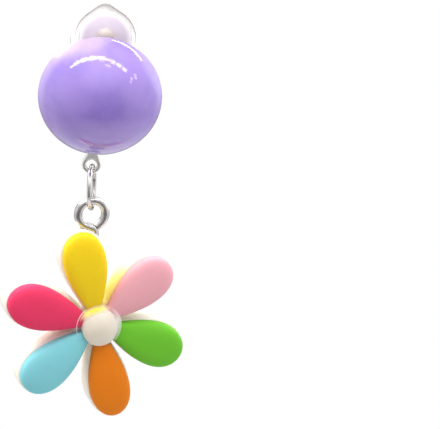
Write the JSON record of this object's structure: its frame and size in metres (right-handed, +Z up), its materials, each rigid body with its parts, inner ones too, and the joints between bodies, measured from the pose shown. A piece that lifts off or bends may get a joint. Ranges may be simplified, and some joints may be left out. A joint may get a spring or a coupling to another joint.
{
  "type": "clip-on drop earring",
  "caption": "Clip-on earring: a glossy half-ball on a hinged clip, and a petalled flower drop that hangs under it by a jump ring and a screw eye.",
  "frame": {"origin": "the middle of the pinched ear lobe, between the clip's plate and the pad", "axes": "+Z up, the half-ball and the flower face along -Y, +X to the right seen from the front"},
  "size_m": [0.0208, 0.0156, 0.0467],
  "materials": {
    "ball_plastic": "glossy opaque lavender plastic",
    "silver_plate": "plated and polished",
    "silver_wire": "plated wire",
    "clear_rubber": "soft milky translucent",
    "white_layer": "satin cream-white",
    "white_button": "satin warm white",
    "yellow_petal": "satin yellow",
    "pink_petal": "satin pale pink",
    "green_petal": "satin green",
    "orange_petal": "satin orange",
    "blue_petal": "satin light blue",
    "magenta_petal": "satin magenta"
  },
  "bodies": {
    "clip": {"ball": "ball_plastic", "clip_base": "silver_plate", "hinge_pin": "silver_plate"},
    "lever": {"clip_lever": "silver_plate", "comfort_pad": "clear_rubber"},
    "ring": {"jump_ring": "silver_wire"},
    "drop": {"screw_eye": "silver_wire", "flower_back": "white_layer", "petal_yellow": "yellow_petal", "petal_pink": "pink_petal", "petal_green": "green_petal", "petal_orange": "orange_petal", "petal_blue": "blue_petal", "petal_magenta": "magenta_petal", "flower_centre": "white_button"}
  },
  "joints": [
    {"name": "lever_open", "type": "hinge", "parent": "clip", "child": "lever", "pos_m": [-0.00118, 0.0004, -0.00958], "axis": [-0.9925, 0, 0.1219], "range_deg": [-28, 47]},
    {"name": "ring_swing", "type": "hinge", "parent": "clip", "child": "ring", "pos_m": [-0.00171, -0.00185, -0.0139], "axis": [0, 1, 0], "range_deg": [-75, 75]},
    {"name": "drop_swing", "type": "hinge", "parent": "ring", "child": "drop", "pos_m": [-0.00171, -0.00185, -0.01822], "axis": [0.9703, 0.2419, 0], "range_deg": [-75, 75]}
  ]
}
